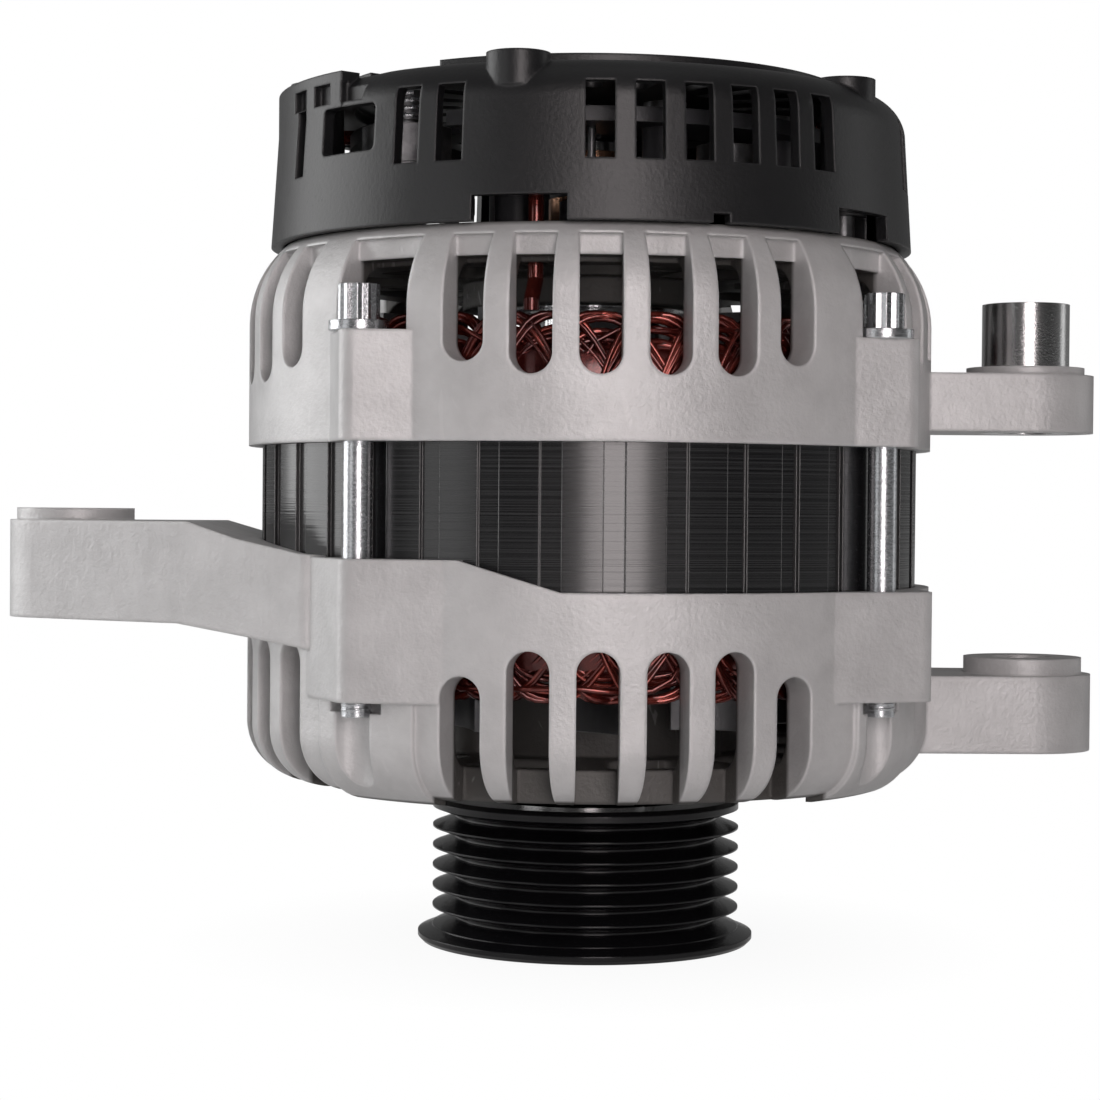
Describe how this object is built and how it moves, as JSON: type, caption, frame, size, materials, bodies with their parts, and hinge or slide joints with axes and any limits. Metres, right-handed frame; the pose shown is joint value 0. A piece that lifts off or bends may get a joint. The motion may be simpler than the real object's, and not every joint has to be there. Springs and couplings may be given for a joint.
{
  "type": "alternator",
  "caption": "Belt-driven alternator with slotted cast brackets, internal fans, ribbed pulley, black rear cover and bolt lugs on both sides.",
  "frame": {"origin": "on the shaft axis at the pulley's flat end face", "axes": "+Z along the shaft towards the rear cover, +X towards the side with the two pivot lugs"},
  "size_m": [0.1934, 0.1218, 0.1507],
  "materials": {
    "cast_aluminium": "bead-blasted casting",
    "cover_plastic": "satin moulded",
    "core_steel": "black dipped laminations",
    "copper_wire": "enamelled",
    "zinc_steel": "zinc plated",
    "bright_steel": "turned bright",
    "pulley_coating": "gloss black coating",
    "bearing_steel": "ground",
    "fan_steel": "pressed sheet",
    "pole_steel": "forged and turned",
    "sink_aluminium": "plain sheet",
    "inner_plastic": "moulded",
    "pale_plastic": "moulded",
    "carbon": "pressed carbon",
    "ring_copper": "turned",
    "brass": "stamped"
  },
  "bodies": {
    "housing": {"drive_end_bracket": "cast_aluminium", "rear_bracket": "cast_aluminium", "stator_core": "core_steel", "stator_winding": "copper_wire", "phase_leads": "copper_wire", "slot_wedges": "pale_plastic", "through_bolts": "zinc_steel", "drive_bearing_outer_race": "bearing_steel", "drive_bearing_shields": "zinc_steel", "rear_bearing_outer_race": "bearing_steel", "rear_bearing_shields": "zinc_steel", "rear_bearing_sleeve": "pale_plastic", "bearing_retainer": "zinc_steel", "retainer_screws": "zinc_steel", "pivot_bush": "bright_steel", "negative_heat_sink": "sink_aluminium", "positive_heat_sink": "sink_aluminium", "negative_diodes": "zinc_steel", "positive_diodes": "zinc_steel", "heat_sink_insulators": "inner_plastic", "terminal_plate": "inner_plastic", "rectifier_screws": "zinc_steel", "output_stud": "zinc_steel", "output_nut": "zinc_steel", "voltage_regulator": "sink_aluminium", "regulator_screws": "zinc_steel", "brush_holder": "inner_plastic", "lower_brush_spring": "bright_steel", "upper_brush_spring": "bright_steel", "connector_shell": "inner_plastic", "connector_pins": "brass", "rear_cover": "cover_plastic", "cover_screws": "zinc_steel"},
    "rotor": {"shaft": "bearing_steel", "front_claw_pole": "pole_steel", "rear_claw_pole": "pole_steel", "rotor_core": "pole_steel", "field_coil_bobbin": "pale_plastic", "field_coil": "copper_wire", "front_fan": "fan_steel", "rear_fan": "fan_steel", "slip_ring_moulding": "inner_plastic", "slip_rings": "ring_copper", "spacer_collar": "bright_steel", "pulley": "pulley_coating", "lock_washer": "zinc_steel", "pulley_nut": "zinc_steel", "drive_bearing_inner_race": "bearing_steel", "rear_bearing_inner_race": "bearing_steel"},
    "drive_ball_set": {"drive_bearing_balls": "bearing_steel", "drive_bearing_cage": "pale_plastic"},
    "rear_ball_set": {"rear_bearing_balls": "bearing_steel", "rear_bearing_cage": "pale_plastic"},
    "lower_brush": {"lower_brush": "carbon"},
    "upper_brush": {"upper_brush": "carbon"}
  },
  "joints": [
    {"name": "rotor_spin", "type": "hinge", "parent": "housing", "child": "rotor", "pos_m": [0, 0, 0], "axis": [0, 0, 1], "continuous": true},
    {"name": "drive_bearing_roll", "type": "hinge", "parent": "housing", "child": "drive_ball_set", "pos_m": [0, 0, 0.04], "axis": [0, 0, 1], "continuous": true},
    {"name": "rear_bearing_roll", "type": "hinge", "parent": "housing", "child": "rear_ball_set", "pos_m": [0, 0, 0.1175], "axis": [0, 0, 1], "continuous": true},
    {"name": "lower_brush_slide", "type": "slide", "parent": "housing", "child": "lower_brush", "axis": [0, 1, 0], "range_m": [0, 0.004], "stiffness_N_per_m": 300, "springref_m": -0.006, "deforming": ["lower_brush_spring"]},
    {"name": "upper_brush_slide", "type": "slide", "parent": "housing", "child": "upper_brush", "axis": [0, 1, 0], "range_m": [0, 0.004], "stiffness_N_per_m": 300, "springref_m": -0.006, "deforming": ["upper_brush_spring"]}
  ],
  "couplings": [
    {"joint": "drive_bearing_roll", "follows": "rotor_spin", "ratio": 0.3656},
    {"joint": "rear_bearing_roll", "follows": "rotor_spin", "ratio": 0.38}
  ]
}
